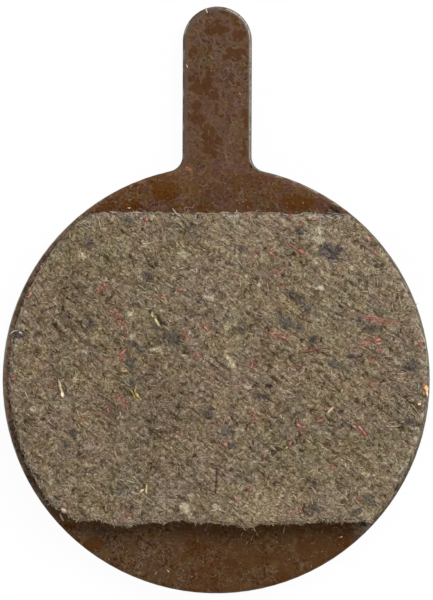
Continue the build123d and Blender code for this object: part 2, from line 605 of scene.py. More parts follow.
DYES = [
    (NAVY_TUFTS, NAVY), (GREY_TUFTS, GREY), (BLUE_TUFTS, BLUE), (CREAM_TUFTS, CREAM),
    (BROWN_TUFTS, BROWN), (RED_TUFTS, RED),
]


def interpolated(stops, value):
    """Colours between (position, colour) stops."""
    positions = [position for position, _ in stops]
    channels = np.array([colour for _, colour in stops]).T
    return np.stack([np.interp(value, positions, channel) for channel in channels], axis=-1)


def felt_scratches(x, y):
    """Depth of the fine scratches along the grain, mostly zero."""
    along, across = turned(x, y, GRAIN_HEADING)
    return np.clip(noise(along / SCRATCH_STRETCH, across, 0.08, 19) - 0.4, 0, 1)


def felt_tone(x, y):
    """Lights and darks of the felt, about zero, drawn out along the grain."""
    along, across = turned(x, y, GRAIN_HEADING)
    tone = 0.6 * noise(along / 4, across, 0.1, 5) + 0.2 * noise(along / 2, across, 0.24, 6)
    tone = tone + 0.3 * (y / FELT_REACH) ** 2 - 0.1 + 0.15 * x / FELT_REACH
    for column, row, width, change in SHADES:
        middle = from_pixel(column, row)
        tone = tone + change * falloff(np.hypot(x - middle[0], y - middle[1]), width)
    # painted highlight on the rounded edge, stronger at the right end, which faces the lamp, than at the left
    rim = (0.8 + 0.3 * np.sign(x)) * felt_rim_highlight(x, y)
    pits = np.clip(noise(x, y, 0.15, 7) - 0.5, 0, 1)
    dark = PIT_SHADE * pits + SCRATCH_SHADE * felt_scratches(x, y)
    return tone + rim - dark + 0.25 * noise(x, y, 3.2, 13)


def felt_rim_highlight(x, y):
    """The pale border of the felt along its two round ends and its upper edge, from 0 to 1: a painted
    highlight on its rounded edge.
    """
    depth = lining_depth(np.stack([x, y], axis=1))
    along = np.maximum(ramped(np.abs(x), *PALE_ENDS), 0.8 * ramped(y, *PALE_TOP))
    return ramped(depth, *PALE_BORDER) * along


def felt_tint(x, y):
    """Factors on the felt's red, green and blue, which turn it pinkish or greenish and yellow or grey."""
    tint = FELT_BALANCE
    for shift, seed in ((PINK_SHIFT, 8), (YELLOW_SHIFT, 27)):
        wander = layered(x, y, (0.34, 0.4, seed), (0.15, 1.1, seed + 1), (0.1, 3.0, seed + 2))
        wander = wander - 0.25 * felt_rim_highlight(x, y)
        tint = tint * (1 + wander[:, None] * shift)
    return tint


def dye_share(tufts, x, y):
    """How much each point lies in any of the tufts, from 0 to 1, with ragged borders."""
    share = np.zeros(x.shape)
    ragged = layered(x, y, (0.35, 0.14, 4), (0.25, 0.07, 20))
    for column, row, half_length, half_width, heading in tufts:
        centre = from_pixel(column, row)
        along, across = turned(x - centre[0], y - centre[1], heading)
        radius = np.hypot(along / half_length, across / half_width) + ragged
        strength = min(1.0, 0.55 + half_length)
        share = np.maximum(share, strength * np.clip((1.3 - radius) * 1.8, 0, 1))
    return share


def felt_colours(rng, x, y, tone):
    """Colours of the felt at points that have a tone each, dyed in the tufts."""
    colours = interpolated(FELT_TONES, tone) * felt_tint(x, y)
    for tufts, dye in DYES:
        share = (dye_share(tufts, x, y) * rng.uniform(0.35, 1.0, x.shape))[:, None]
        colours = blend(colours, np.array(dye) * (0.6 + 0.75 * tone)[:, None], share)
    return colours


# The lining's body: a pressed felt, ragged along its two straight edges
FELT_SPACING = 0.066
FELT_EDGE_ROUND = 0.24
FELT_SINK = 0.06  # how far the body's face lies under the tops of its fibres
UNEVEN = 0.016  # spread of the heights of the face's points and of the fibres on it
SHOULDER_TURN = 0.5  # wall fibres climb this share of the rounded edge
SHOULDER_TOP = LINING_TOP - FELT_SINK - FELT_EDGE_ROUND * (1 - SHOULDER_TURN)
WALL_RINGS = 14
WALL_DRIFT = (1.0, 0.6)  # how the pattern drifts down the walls, so that it leaves no upright streaks
GROOVE_TOP = from_pixel(216.6, 469)
GROOVE_BOTTOM = from_pixel(215.8, 490.5)
GROOVE_WIDTH = 0.03
GROOVE_DEPTH = 0.13
GROOVE_LINES = (-0.08, -0.026, 0.0, 0.026, 0.08)  # lines of points along the slit, which give it sharp sides
GROOVE_STEPS = 26  # points in each line
FACE_OFF_GROOVE = 1e-4  # other points and the fibres keep out of the slit, from these shares of it on
FIBRES_OFF_GROOVE = 0.08
BULGE = from_pixel(120, 522)  # where the lower edge is frayed most
CHIPPED_CORNER = from_pixel(63, 518)
SECOND_BULGE = from_pixel(247, 524)
HOLLOW = from_pixel(190, 522)
BULGES = [  # with how far each reaches out and spreads along the edge
    (BULGE, 0.22, 0.75), (SECOND_BULGE, 0.16, 0.4), (HOLLOW, -0.14, 1.6), (CHIPPED_CORNER, -0.38, 0.5),
]
END_RECESS = 0.17  # how far the lower edge draws in towards its ends
RECESS_FROM = (3.6, 5.0)  # distances to the left and right between which it sets in
LEFT_SPREAD = 0.03  # how far the left end spread out over the resin
LOW_SPREAD = 0.12  # and how much more its lower part did
SHRINKAGE = 0.02  # all around
FIELD_STEP = 0.15  # between points of the outline that depths are measured from


def ragged_edge(loop):
    """The lining's uneven outlines at its face, rougher where it was cut straight, and at its seat."""
    normal = outward(loop)
    x, y = loop.T
    straight = ramped(np.abs(normal[:, 1]), 0.9, 0.98)
    left_end = ramped(-normal[:, 0], 0.5, 0.65)
    roughness = 0.045 + 0.05 * straight + 0.03 * left_end
    reach = roughness * layered(x, y, (0.5, 0.9, 11), (0.6, 0.24, 12)) - SHRINKAGE
    reach -= END_RECESS * ramped(np.abs(x), *RECESS_FROM) * np.where(y < 0, straight, 0)
    reach += (LEFT_SPREAD - LOW_SPREAD * np.minimum(normal[:, 1], 0)) * left_end
    for middle, out, width in BULGES:
        reach += out * falloff(np.linalg.norm(loop - middle, axis=1), width)
    foot = np.minimum(reach, 0)
    return loop + normal * reach[:, None], loop + normal * foot[:, None]


LINING_LOOP = evenly(outline_of("friction_lining", LINING_SEAT), FELT_SPACING)
LINING_EDGE, LINING_FOOT = ragged_edge(LINING_LOOP)
lining_depth = depth_field(evenly(LINING_EDGE, FIELD_STEP))


def groove_share(x, y):
    """How much each point lies in the narrow slit in the rubbing face, from 0 to 1."""
    run = GROOVE_BOTTOM - GROOVE_TOP
    offset = np.stack([x, y], axis=-1) - GROOVE_TOP
    share = np.clip((offset * run).sum(-1) / (run**2).sum(), 0, 1)
    gap = np.linalg.norm(offset - share[..., None] * run, axis=-1)
    return falloff(gap, GROOVE_WIDTH)


def groove_points():
    """Lines of points along the slit, seen from above."""
    run = GROOVE_BOTTOM - GROOVE_TOP
    side = np.array([run[1], -run[0]]) / np.linalg.norm(run)
    along = np.linspace(0, 1, GROOVE_STEPS)[:, None] * run
    return np.vstack([GROOVE_TOP + along + line * side for line in GROOVE_LINES])


def felt_relief(x, y):
    """Height of the felt's tufts, lumps and grains over its mean face, with its scratches and the slit."""
    bumps = layered(x, y, (0.012, 0.33, 2), (0.02, 1.5, 3), (0.045, 0.11, 17))
    return bumps - 0.1 * felt_scratches(x, y) - GROOVE_DEPTH * groove_share(x, y)


def lining_face(x, y, depth):
    """Height of the rubbing face at points that lie some depth inside the outline."""
    return LINING_TOP - FELT_SINK - rounded_drop(depth, FELT_EDGE_ROUND) + felt_relief(x, y)


def wall_line(index, share):
    """Points on the lining's wall, seen from above, a share of the way down from its face to its seat."""
    return blend(LINING_EDGE[index], LINING_FOOT[index], share[..., None])


def wall_rings(top_ring):
    """Rings of points down the lining's wall, from under its face to its seat."""
    count = len(LINING_EDGE)
    normal = outward(LINING_EDGE)
    reach = np.arange(count) * FELT_SPACING
    rings = []
    for share in np.arange(1, WALL_RINGS + 1) / WALL_RINGS:
        down = np.full(count, share * (LINING_TOP - LINING_SEAT))
        rough = layered(reach, down, (0.03, 0.16, 31), (0.03, 0.6, 32))
        flat = wall_line(np.arange(count), np.full(count, share))
        flat = flat + normal * (rough * math.sin(math.pi * share))[:, None]
        rings.append(np.column_stack([flat, blend(top_ring, LINING_SEAT, share)]))
    return rings


def make_lining_body(material):
    """The closed body of the lining: its face, its walls and its flat seat."""
    rng = np.random.default_rng(21)
    inner = hex_grid(LINING_EDGE, FELT_SPACING, rng)
    inner = inner[lining_depth(inner) > CLEAR_OF_EDGE * FELT_SPACING]
    inner = inner[groove_share(*inner.T) < FACE_OFF_GROOVE]
    flat, faces = triangulated(LINING_EDGE, np.vstack([inner, groove_points()]))
    count = len(LINING_EDGE)
    depth = lining_depth(flat)
    depth[:count] = 0
    height = lining_face(*flat.T, depth) + rng.normal(0, UNEVEN, len(flat))
    points = np.vstack([np.column_stack([flat, height])] + wall_rings(height[:count]))
    add_walls(faces, len(flat), count, WALL_RINGS)
    drop = LINING_TOP - points[:, 2]
    drop[: len(flat)] = 0
    x, y = points[:, 0] + WALL_DRIFT[0] * drop, points[:, 1] + WALL_DRIFT[1] * drop
    # painted shade: the tone is lowered in the slit
    tone = 0.52 + 0.16 * felt_tone(x, y) + 0.25 * noise(x, y, 0.11, 18) - 0.3 * groove_share(x, y)
    tone += rng.normal(0, 0.14, len(points))
    colours = felt_colours(rng, x, y, tone)
    piece = add_piece("lining_body", points, faces, material, colours)
    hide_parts("friction_lining")


# The lining's fibres: usual sizes and tones come with their spread and their two limits
END_SHADE = 0.75  # a fibre's ends are this much of its colour
STRAIGHT_ZONE = 0.6  # fibres this near the lower straight edge belong to it
OVERHANG = 0.03  # how far a fibre may reach over the outline
LOW_OVERHANG = 0.1  # and over the lower straight edge
# Each layer is a lighter tone than the one under it: the darker lower layers are painted shade deep in the
# felt.
FELT_LAYERS = [  # name, seed, steps along and across, length, width, tone, lift, share aligned, spread
    ("felt_low", 41, (0.30, 0.17), 0.30, 0.085, 0.58, 0.0, 0.6, 0.5),
    ("felt_middle", 42, (0.34, 0.2), 0.3, 0.075, 0.66, 0.012, 0.65, 0.45),
    ("felt_high", 43, (0.5, 0.3), 0.26, 0.065, 0.73, 0.025, 0.7, 0.4),
]
LENGTH_SHARES = (0, 0.45, 0.35, 2.4)  # of a layer's length, the first as a logarithm
WIDTH_SHARES = (1, 0.25, 0.5, 1.7)  # of a layer's width
FIBRE_ARCH = 0.03  # the most that a fibre's middle stands up
LOOSE_FIBRES = 600
LOOSE_LAYER = (0.36, 0.05, 0.76, 0.04, 0.85, 0.2)  # length, width and so on, as above
EDGE_FIBRES = 2200
EDGE_CHANCES = [(-0.97, 1.0), (-0.8, 0.05), (0.9, 0.05), (0.97, 0.15)]  # by how far the edge faces up
LEFT_CHANCE = 0.15  # more of them at the left end
EDGE_LENGTHS = (-1.65, 0.4, 0.1, 0.5)  # the first as a logarithm
EDGE_WIDTHS = (0.058, 0.015, 0.035, 0.1)
EDGE_TONES = (0.68, 0.12, 0, 1)
TANGLE = 0.7  # twice as many of them stick out this near a bulge
WALL_FIBRES = 4600
WALL_LENGTHS = (-0.9, 0.35, 0.2, 1.0)  # the first as a logarithm
WALL_WIDTHS = (0.085, 0.02, 0.05, 0.14)
WALL_CLEARANCE = 0.05  # between the seat and a fibre's ends, and twice that for its middle
PALE_PATCH = (1.8, 2.0)  # middle and spread, upwards, of the palest part of the right end
RIGHT_PALER = 0.45  # how much paler the shoulders are painted there, at the left end and along the upper edge: a painted highlight, strongest where they face the lamp
LEFT_PALER = 0.05
TOP_PALER = 0.35
STRANDS_PER_MM = 5  # of a red bundle, after the first two
FLAKE_EVERY = 3  # every third strand is a longer and broader flake
RED_SHARES = (0.45, 0.25, 0, 1)  # places between the red tones
DOT_STRANDS = 6


def brickwork(rng, along_step, across_step, jitter=0.4, margin=0.03):
    """Places in a loose brickwork that follows the grain, all over the lining."""
    reach = np.abs(LINING_EDGE).max() * math.sqrt(2)
    along, across = np.meshgrid(np.arange(-reach, reach, along_step), np.arange(-reach, reach, across_step))
    along[::2] += along_step / 2
    along = along + rng.uniform(-jitter, jitter, along.shape) * along_step
    across = across + rng.uniform(-jitter, jitter, along.shape) * across_step
    x, y = turned(along.ravel(), across.ravel(), -GRAIN_HEADING)
    places = np.stack([x, y], axis=1)
    return places[lining_depth(places) > margin]


def scattered(rng, count, margin):
    """Random places on the lining, at least a margin inside its edge."""
    tries = rng.uniform(LINING_EDGE.min(0), LINING_EDGE.max(0), (count * 2, 2))
    return tries[lining_depth(tries) > margin][:count]


def headings_for(rng, centres, aligned, spread):
    """Fibre headings, a share of them along the grain, which wanders, and the rest any way."""
    x, y = centres.T
    count = len(centres)
    wander = layered(x, y, (0.15, 1.1, 14), (0.15, 0.5, 15))
    near = np.radians(GRAIN_HEADING) + wander + rng.normal(0, spread, count)
    return np.where(rng.random(count) < aligned, near, rng.uniform(0, math.tau, count))


def flat_paths(rng, centres, headings, lengths, bend=0.12, wiggle=0.05, points=6):
    """Wavy paths seen from above, count x points x 2."""
    count = len(centres)
    turn = rng.normal(0, bend, (count, 1)) * np.linspace(-1, 1, points)
    heading = np.asarray(headings)[:, None] + turn + rng.normal(0, wiggle, (count, points))
    step = np.stack([np.cos(heading), np.sin(heading)], axis=2)
    step *= np.asarray(lengths)[:, None, None] / (points - 1)
    path = np.cumsum(step, axis=1)
    return path - path.mean(1, keepdims=True) + np.asarray(centres)[:, None, :]


def laid(flat, lift, arch):
    """Paths laid on the rubbing face, with their middles arched up and their ends let in."""
    x, y = flat[..., 0], flat[..., 1]
    depth = lining_depth(flat.reshape(-1, 2)).reshape(x.shape)
    hump = np.asarray(arch)[:, None] * (0.4 - np.linspace(-1, 1, flat.shape[1]) ** 2)
    height = lining_face(x, y, depth) + np.asarray(lift)[:, None] + hump
    return np.dstack([x, y, height])


def on_the_face(flat):
    """Which paths stay inside the outline, more or less, and clear of the slit."""
    depth = lining_depth(flat.reshape(-1, 2)).reshape(flat.shape[:2]).min(1)
    low = flat[..., 1].mean(1) < LINING_EDGE[:, 1].min() + STRAIGHT_ZONE
    dense = np.concatenate([flat, (flat[:, 1:] + flat[:, :-1]) / 2], axis=1)
    clear = groove_share(dense[..., 0], dense[..., 1]).max(1) < FIBRES_OFF_GROOVE
    return clear & (depth > np.where(low, -LOW_OVERHANG, -OVERHANG))


def add_fibres(name, paths, widths, colours, material, flatness=0.7, mottle=0.0):
    """One piece of many fibres, each with a colour that is darker at its ends and mottled along it."""
    points, faces, each = tubes(paths, widths, flatness)
    shade = 1 + mottle * np.random.default_rng(79).uniform(-1, 1, (len(paths), each))
    shade[:, [0, -1]] *= END_SHADE
    point_colours = (np.asarray(colours)[:, None, :] * shade[..., None]).reshape(-1, 3)
    return add_piece(name, points, faces, material, point_colours, strip_map(*paths.shape[:2]))


def make_felt_layer(name, material, seed, centres, length, width, tone, lift, aligned, spread):
    """One layer of the felt: short fibres laid into the face."""
    rng = np.random.default_rng(seed)
    count = len(centres)
    lengths = length * drawn(rng.lognormal, count, *LENGTH_SHARES)
    flat = flat_paths(rng, centres, headings_for(rng, centres, aligned, spread), lengths, points=5)
    widths = width * drawn(rng.normal, count, *WIDTH_SHARES)
    paths = laid(flat, rng.normal(lift, UNEVEN, count), rng.uniform(0, FIBRE_ARCH, count))
    x, y = centres.T
    tones = np.clip(tone + 0.19 * felt_tone(x, y) + rng.normal(0, 0.13, count), 0, 1)
    colours = felt_colours(rng, x, y, tones)
    keep = on_the_face(flat)
    add_fibres(name, paths[keep], widths[keep], colours[keep], material)


def make_felt(material):
    """All layers of the felt, from the lowest fibres to the loose ones on top."""
    rng = np.random.default_rng(40)
    for name, seed, steps, *kind in FELT_LAYERS:
        make_felt_layer(name, material, seed, brickwork(rng, *steps), *kind)
    loose = scattered(rng, LOOSE_FIBRES, margin=0.05)
    make_felt_layer("felt_loose", material, 44, loose, *LOOSE_LAYER)


def make_edge_fuzz(material):
    """Loose fibre ends that stick out of the lining's edge, most of them along the straight edges."""
    rng = np.random.default_rng(51)
    normal = outward(LINING_EDGE)
    chance = np.interp(normal[:, 1], *zip(*EDGE_CHANCES))
    for middle in (BULGE, SECOND_BULGE):
        chance *= np.where(np.linalg.norm(LINING_EDGE - middle, axis=1) < TANGLE, 2.0, 1.0)
    chance += LEFT_CHANCE * ramped(-normal[:, 0], 0.5, 0.8)
    picks = rng.choice(len(LINING_EDGE), EDGE_FIBRES, p=chance / chance.sum())
    out = np.arctan2(normal[picks, 1], normal[picks, 0])
    lengths = drawn(rng.lognormal, EDGE_FIBRES, *EDGE_LENGTHS)
    centres = LINING_EDGE[picks] + normal[picks] * rng.normal(-0.04, 0.05, EDGE_FIBRES)[:, None]
    headings = out + rng.normal(0, 1.1, EDGE_FIBRES)
    flat = flat_paths(rng, centres, headings, lengths, bend=0.8, wiggle=0.2)
    height = LINING_TOP - 0.12 - np.abs(rng.normal(0, 0.4, EDGE_FIBRES))
    height = np.clip(height, LINING_SEAT + 0.15, None)
    slope = rng.normal(-0.1, 0.25, EDGE_FIBRES)[:, None] * np.linspace(-0.5, 0.5, flat.shape[1])
    paths = np.dstack([flat, height[:, None] + slope * lengths[:, None]])
    widths = drawn(rng.normal, EDGE_FIBRES, *EDGE_WIDTHS)
    tones = drawn(rng.normal, EDGE_FIBRES, *EDGE_TONES)
    add_fibres("lining_edge_fuzz", paths, widths, felt_colours(rng, *centres.T, tones), material)


def make_wall_fibres(material):
    """Fibres pressed into the lining's walls, paler on the shoulders of its right end and upper edge as a
    painted highlight.
    """
    rng = np.random.default_rng(52)
    picks = rng.integers(0, len(LINING_EDGE), WALL_FIBRES)
    normal = outward(LINING_EDGE)
    lengths = drawn(rng.lognormal, WALL_FIBRES, *WALL_LENGTHS)
    tilt = rng.normal(0, 0.45, WALL_FIBRES)
    along = np.linspace(-0.5, 0.5, 6)
    steps = along[None] * lengths[:, None]
    reach = picks[:, None] + np.cos(tilt)[:, None] * steps / FELT_SPACING
    index = np.round(reach).astype(int) % len(LINING_EDGE)
    middle = rng.uniform(LINING_SEAT + 2 * WALL_CLEARANCE, SHOULDER_TOP, WALL_FIBRES)
    height = middle[:, None] + np.sin(tilt)[:, None] * steps
    height = np.clip(height, LINING_SEAT + WALL_CLEARANCE, SHOULDER_TOP)
    rise = np.clip((height - SHOULDER_TOP) / FELT_EDGE_ROUND + SHOULDER_TURN, 0, 1)
    inset = FELT_EDGE_ROUND * (1 - np.sqrt(1 - rise**2))
    bulge = rng.uniform(-0.015, 0.02, WALL_FIBRES)[:, None] + 0.03 * (0.4 - (2 * along) ** 2)
    share = (LINING_TOP - height) / (LINING_TOP - LINING_SEAT)
    paths = np.dstack([wall_line(index, share) + normal[index] * (bulge - inset)[..., None], height])
    widths = drawn(rng.normal, WALL_FIBRES, *WALL_WIDTHS)
    x, y = paths[:, 3, :2].T
    right_end = RIGHT_PALER * falloff(y - PALE_PATCH[0], PALE_PATCH[1])
    paler = np.where(normal[picks, 0] > 0, right_end, LEFT_PALER)
    paler = np.where(normal[picks, 1] > 0.9, TOP_PALER, paler)
    paler = paler * ramped(middle, SHOULDER_TOP - FELT_EDGE_ROUND, SHOULDER_TOP)
    tones = np.clip(rng.normal(0.5, 0.14, WALL_FIBRES) + paler, 0, 1)
    add_fibres("lining_wall_fibres", paths, widths, felt_colours(rng, x, y, tones), material, 1.0)


def make_red_bundles(material):
    """Bundles of red fibre pressed into the face."""
    rng = np.random.default_rng(71)
    centres, headings, lengths, widths = [], [], [], []
    for column, row, length, heading in RED_BUNDLES:
        angle = math.radians(heading)
        for strand in range(2 + round(STRANDS_PER_MM * length)):
            flake = strand % FLAKE_EVERY == 0
            spread = 0.035 + 0.035 * length if flake else 0.055 + 0.05 * length
            offset = turned(rng.normal(0, 0.27) * length, rng.normal(0, spread), -heading)
            centres.append(from_pixel(column, row) + offset)
            headings.append(angle + rng.normal(0, 0.3))
            lengths.append(rng.uniform(0.20, 0.30 + 0.15 * length) if flake else rng.uniform(0.08, 0.26))
            widths.append(rng.uniform(0.11, 0.17) if flake else rng.uniform(0.06, 0.10))
    flat = flat_paths(rng, np.array(centres), headings, lengths)
    count = len(flat)
    paths = laid(flat, rng.normal(0.045, UNEVEN, count), rng.uniform(0, FIBRE_ARCH, count))
    colours = interpolated(RED_TONES, drawn(rng.normal, count, *RED_SHARES))
    add_fibres("red_bundles", paths, np.array(widths), colours, material, 0.55, mottle=0.2)


def make_dots(material):
    """Dark dots: small knots of dyed fibre in the face."""
    rng = np.random.default_rng(72)
    centres = np.repeat([from_pixel(column, row) for column, row, _ in DOTS], DOT_STRANDS, axis=0)
    radii = np.repeat([radius for _, _, radius in DOTS], DOT_STRANDS)
    centres = centres + rng.normal(0, 0.4, centres.shape) * radii[:, None]
    count = len(centres)
    headings = rng.uniform(0, math.tau, count)
    flat = flat_paths(rng, centres, headings, radii * rng.uniform(1.0, 1.8, count), bend=0.5)
    paths = laid(flat, rng.normal(0.04, 0.015, count), np.full(count, 0.02))
    colours = np.array(DOT) * rng.uniform(0.6, 1.3, (count, 1))
    add_fibres("dark_dots", paths, rng.uniform(0.06, 0.1, count), colours, material)


# Curls along the edges: column and row, length in millimetres, heading, curl and colour
CURL_POINTS = 9
CURL_WIDTH = 0.075
CURL_DROP = 0.08  # below the fibres' tops
PALE = (0.50, 0.42, 0.36)
TAN = (0.24, 0.15, 0.09)
EDGE_CURLS = [
    (176, 212.5, 0.62, -50, 14, PALE), (183.7, 215.5, 0.24, -50, 10, (0.42, 0.34, 0.20)),
    (186, 209, 0.45, 80, -120, TAN), (192, 206.5, 0.42, 20, 100, TAN), (236, 212, 0.30, 60, 40, PALE),
    (189, 217, 0.70, 5, 35, (0.32, 0.22, 0.12)), (113, 212, 0.35, -10, 30, PALE),
    (14, 331.8, 0.48, 28, -35, PALE),
]

# Slivers and chips of metal and resin: column and row, length and width, heading and colour
SLIVER_LIFT = 0.1
SLIVER_ARCH = 0.04
# The darkest entries, laid along pale slivers, are painted shadows beside them, and the palest strands on the
# copper chip at the right edge are painted highlights.
SLIVERS = [
    (152, 314.5, 0.36, 0.16, -75, (0.86, 0.76, 0.46)), (157, 322, 0.60, 0.17, -53, (0.80, 0.68, 0.37)),
    (154.5, 317, 0.20, 0.12, -60, (0.30, 0.24, 0.10)), (161.2, 320, 0.75, 0.13, -53, (0.05, 0.033, 0.014)),
    (147.5, 309, 0.34, 0.14, -12, (0.42, 0.28, 0.20)), (150.5, 311, 0.24, 0.14, -60, (0.06, 0.033, 0.02)),
    (125, 371, 0.46, 0.17, 0, (0.50, 0.34, 0.14)), (126, 370.8, 0.20, 0.14, 0, (0.78, 0.55, 0.22)),
    (61.3, 388, 0.95, 0.18, -78, (0.66, 0.49, 0.30)), (62.3, 395, 0.36, 0.21, -72, (0.84, 0.70, 0.52)),
    (58.5, 383, 0.60, 0.11, -84, (0.36, 0.22, 0.14)), (65, 386, 0.60, 0.09, -70, (0.12, 0.07, 0.04)),
    (30.3, 294, 0.34, 0.16, 68, (0.46, 0.24, 0.15)), (28.5, 297, 0.20, 0.14, 60, (0.40, 0.22, 0.14)),
    (137.5, 395, 0.50, 0.20, -62, (0.44, 0.33, 0.12)), (135.5, 389, 0.42, 0.15, 75, (0.52, 0.41, 0.18)),
    (132, 392, 0.40, 0.12, -50, (0.36, 0.26, 0.11)), (140, 399, 0.36, 0.14, -60, (0.38, 0.28, 0.11)),
    (134, 396, 0.36, 0.13, -70, (0.33, 0.24, 0.10)), (70, 235, 0.40, 0.12, 85, (0.26, 0.24, 0.10)),
    (330, 411, 0.66, 0.21, 60, (0.60, 0.43, 0.27)), (328.5, 408.5, 0.22, 0.14, 50, (0.36, 0.17, 0.11)),
    (395, 426, 0.72, 0.15, 6, (0.33, 0.27, 0.13)), (393, 422, 0.44, 0.12, 0, (0.36, 0.30, 0.18)),
    (286, 448, 0.24, 0.15, 45, (0.42, 0.36, 0.13)), (280, 449, 0.28, 0.16, 0, (0.09, 0.065, 0.03)),
    (146.5, 489, 0.58, 0.18, -85, (0.62, 0.49, 0.26)), (141.5, 491, 0.42, 0.20, 45, (0.62, 0.48, 0.32)),
    (137, 494, 0.32, 0.12, 10, (0.38, 0.27, 0.18)), (143.5, 487.5, 0.30, 0.10, 60, (0.10, 0.06, 0.03)),
    (304, 507, 0.36, 0.12, 60, (0.09, 0.05, 0.025)), (306, 512, 0.40, 0.12, -30, (0.12, 0.055, 0.04)),
    (298, 513, 0.30, 0.15, -10, (0.30, 0.14, 0.10)), (302, 515, 0.22, 0.16, 0, (0.44, 0.41, 0.29)),
    (289, 519, 0.32, 0.15, 10, (0.36, 0.21, 0.14)), (64.8, 505, 0.38, 0.36, -40, (0.27, 0.175, 0.10)),
    (64.0, 510.5, 0.40, 0.30, -20, (0.56, 0.39, 0.29)), (20.5, 333, 0.26, 0.15, -30, (0.50, 0.40, 0.36)),
    (423.3, 384.5, 0.34, 0.28, -60, (0.46, 0.20, 0.13)), (425.8, 388.5, 0.48, 0.26, -80, (0.88, 0.50, 0.22)),
    (427, 393.5, 0.34, 0.16, -84, (0.95, 0.78, 0.58)), (423.6, 393, 0.32, 0.20, -80, (0.36, 0.17, 0.10)),
    (419.5, 404, 0.20, 0.18, 20, (0.90, 0.62, 0.36)), (414, 408, 0.72, 0.13, -45, (0.28, 0.25, 0.11)),
    (418.3, 388, 0.60, 0.13, -86, (0.24, 0.26, 0.17)), (307, 351, 1.10, 0.13, 10, (0.25, 0.115, 0.080)),
    (321, 348.5, 0.90, 0.12, 13, (0.27, 0.120, 0.085)), (299, 425.5, 0.42, 0.22, -52, (0.50, 0.21, 0.155)),
    (361, 429, 0.50, 0.15, -50, (0.62, 0.30, 0.24)), (364, 432.5, 0.44, 0.20, -42, (0.42, 0.16, 0.12)),
    (378, 340, 0.44, 0.19, 12, (0.62, 0.26, 0.19)), (301, 251.5, 0.42, 0.32, -30, (0.46, 0.20, 0.145)),
    (206, 328.5, 0.44, 0.14, -36, (0.58, 0.29, 0.22)), (320, 421, 0.36, 0.24, 15, (0.48, 0.21, 0.155)),
]


def curled(column, row, length, heading, curl):
    """A curled path seen from above."""
    turn = np.radians(heading + curl * np.linspace(-1, 1, CURL_POINTS))
    step = np.stack([np.cos(turn), np.sin(turn)], axis=1) * length / (CURL_POINTS - 1)
    path = np.cumsum(step, axis=0)
    return path - path.mean(0) + from_pixel(column, row)


def make_edge_curls(material):
    """Curls of fibre that came loose along the edges."""
    rng = np.random.default_rng(74)
    flat = np.array([curled(*curl[:5]) for curl in EDGE_CURLS])
    height = np.full(flat.shape[:2], LINING_TOP - CURL_DROP) + rng.uniform(-0.05, 0.05, (len(flat), 1))
    colours = [curl[5] for curl in EDGE_CURLS]
    add_fibres("edge_curls", np.dstack([flat, height]), np.full(len(flat), CURL_WIDTH), colours, material)


def make_slivers(material):
    """Slivers and chips of brass, copper and resin let into the face, with painted shadows beside some and
    painted highlights on the copper chip.
    """
    rng = np.random.default_rng(75)
    columns, rows, lengths, widths, headings, colours = zip(*SLIVERS)
    centres = [from_pixel(column, row) for column, row in zip(columns, rows)]
    flat = flat_paths(rng, centres, np.radians(headings), lengths, bend=0.2, wiggle=0.15)
    paths = laid(flat, np.full(len(flat), SLIVER_LIFT), np.full(len(flat), SLIVER_ARCH))
    add_fibres("slivers", paths, widths, colours, material, 0.5, mottle=0.45)


# The film of resin
FILM_SPACING = 0.04
FILM_COARSE = 0.6  # under the lining, where nothing shows
FINE_BELOW = 0.12  # how far the fine spacing reaches under the lining
COARSE_FROM = 0.3  # where the coarse one begins
FILM_EDGE_ROUND = 0.05
FILM_EDGE_FALL = 0.8  # how much of that rounding the edge falls
FILM_FIELD_STEP = 0.2  # between points of the outline that depths are measured from
AMBER = np.array([0.0785, 0.0265, 0.003])
SKIN = np.array([0.100, 0.050, 0.0265])
DARK_SKIN = np.array([0.076, 0.038, 0.020])
LOW_SKIN = np.array([0.098, 0.053, 0.0235])  # below the lining
# RIM: the pale colour of the raised rims, the pools' lips and the fine wrinkles, a painted highlight on their
# crests; the stray fibres take it as their colour too.
RIM = np.array([0.180, 0.109, 0.069])
HAZE = np.array([0.031, 0.0217, 0.0143])  # added by a pale grain and taken away by a dark one
SPOT = np.array([0.106, 0.063, 0.026])
WORN = np.array([0.130, 0.085, 0.056])  # at the disc's left end
OLIVE_SHIFT = np.array([0.04, 0.14, -0.35])  # from purplish to olive patches of the skin
RED_PATCH = np.array([0.135, 0.055, 0.033])
DULL = np.array([0.115, 0.086, 0.058])  # at the disc's lower right
LEFT_END_PAINTED_LIGHT = [  # how bright the left end is painted, by degrees above its middle: painted light around the middle eases the lining's shadow, and it is darker towards the lower left
    (-40, 0.75), (-28, 0.85), (-12.5, 1.05), (-11.5, 1.8), (12, 1.8), (20, 1.0),
]
RED_PATCH_DEPTHS = (0.08, 0.14)  # depths inside the film's edge between which the redder patches set in
TAB_LEFT = np.array([0.112, 0.075, 0.060])  # strips along the tab's two sides: a worn grey one on the left and a pale one on the right
TAB_RIGHT = np.array([0.170, 0.135, 0.100])
TAB_LEFT_STRIP = 0.15  # their widths
TAB_RIGHT_STRIP = 0.06
TAB_ROOT = (10.2, 11.0)  # the tab begins between these distances from the disc's centre
LOW_CHANGE = (-3, -1)  # left of the middle, where the resin below the lining changes to its right part
TAB_LEVEL = 0.96  # how bright the resin is on the tab, on the shoulders and at the two sides below
SHOULDER_LEVEL = 1.27
LOW_LEFT_LEVEL = 0.86
LOW_RIGHT_LEVEL = 0.91
PAINTED_LIGHT_REACH = 0.6  # painted light: the resin within this of the lining's lower edge is painted brighter, easing the lining's shadow
FROTH_COVER = 0.65
HOLLOW_SHADE = 0.55
SCALE_TRIES = 2000  # for wrinkles of the skin, each with a raised rim along a part of its edge
SCALE_RADII = (-1.95, 0.5, 0.07, 0.45)  # usual size as a logarithm, its spread and its two limits
RIM_WIDTH = 0.037
RIM_HEIGHT = 0.035
HOLLOW_DEPTH = 0.02
GRAIN_HEIGHT = 0.012
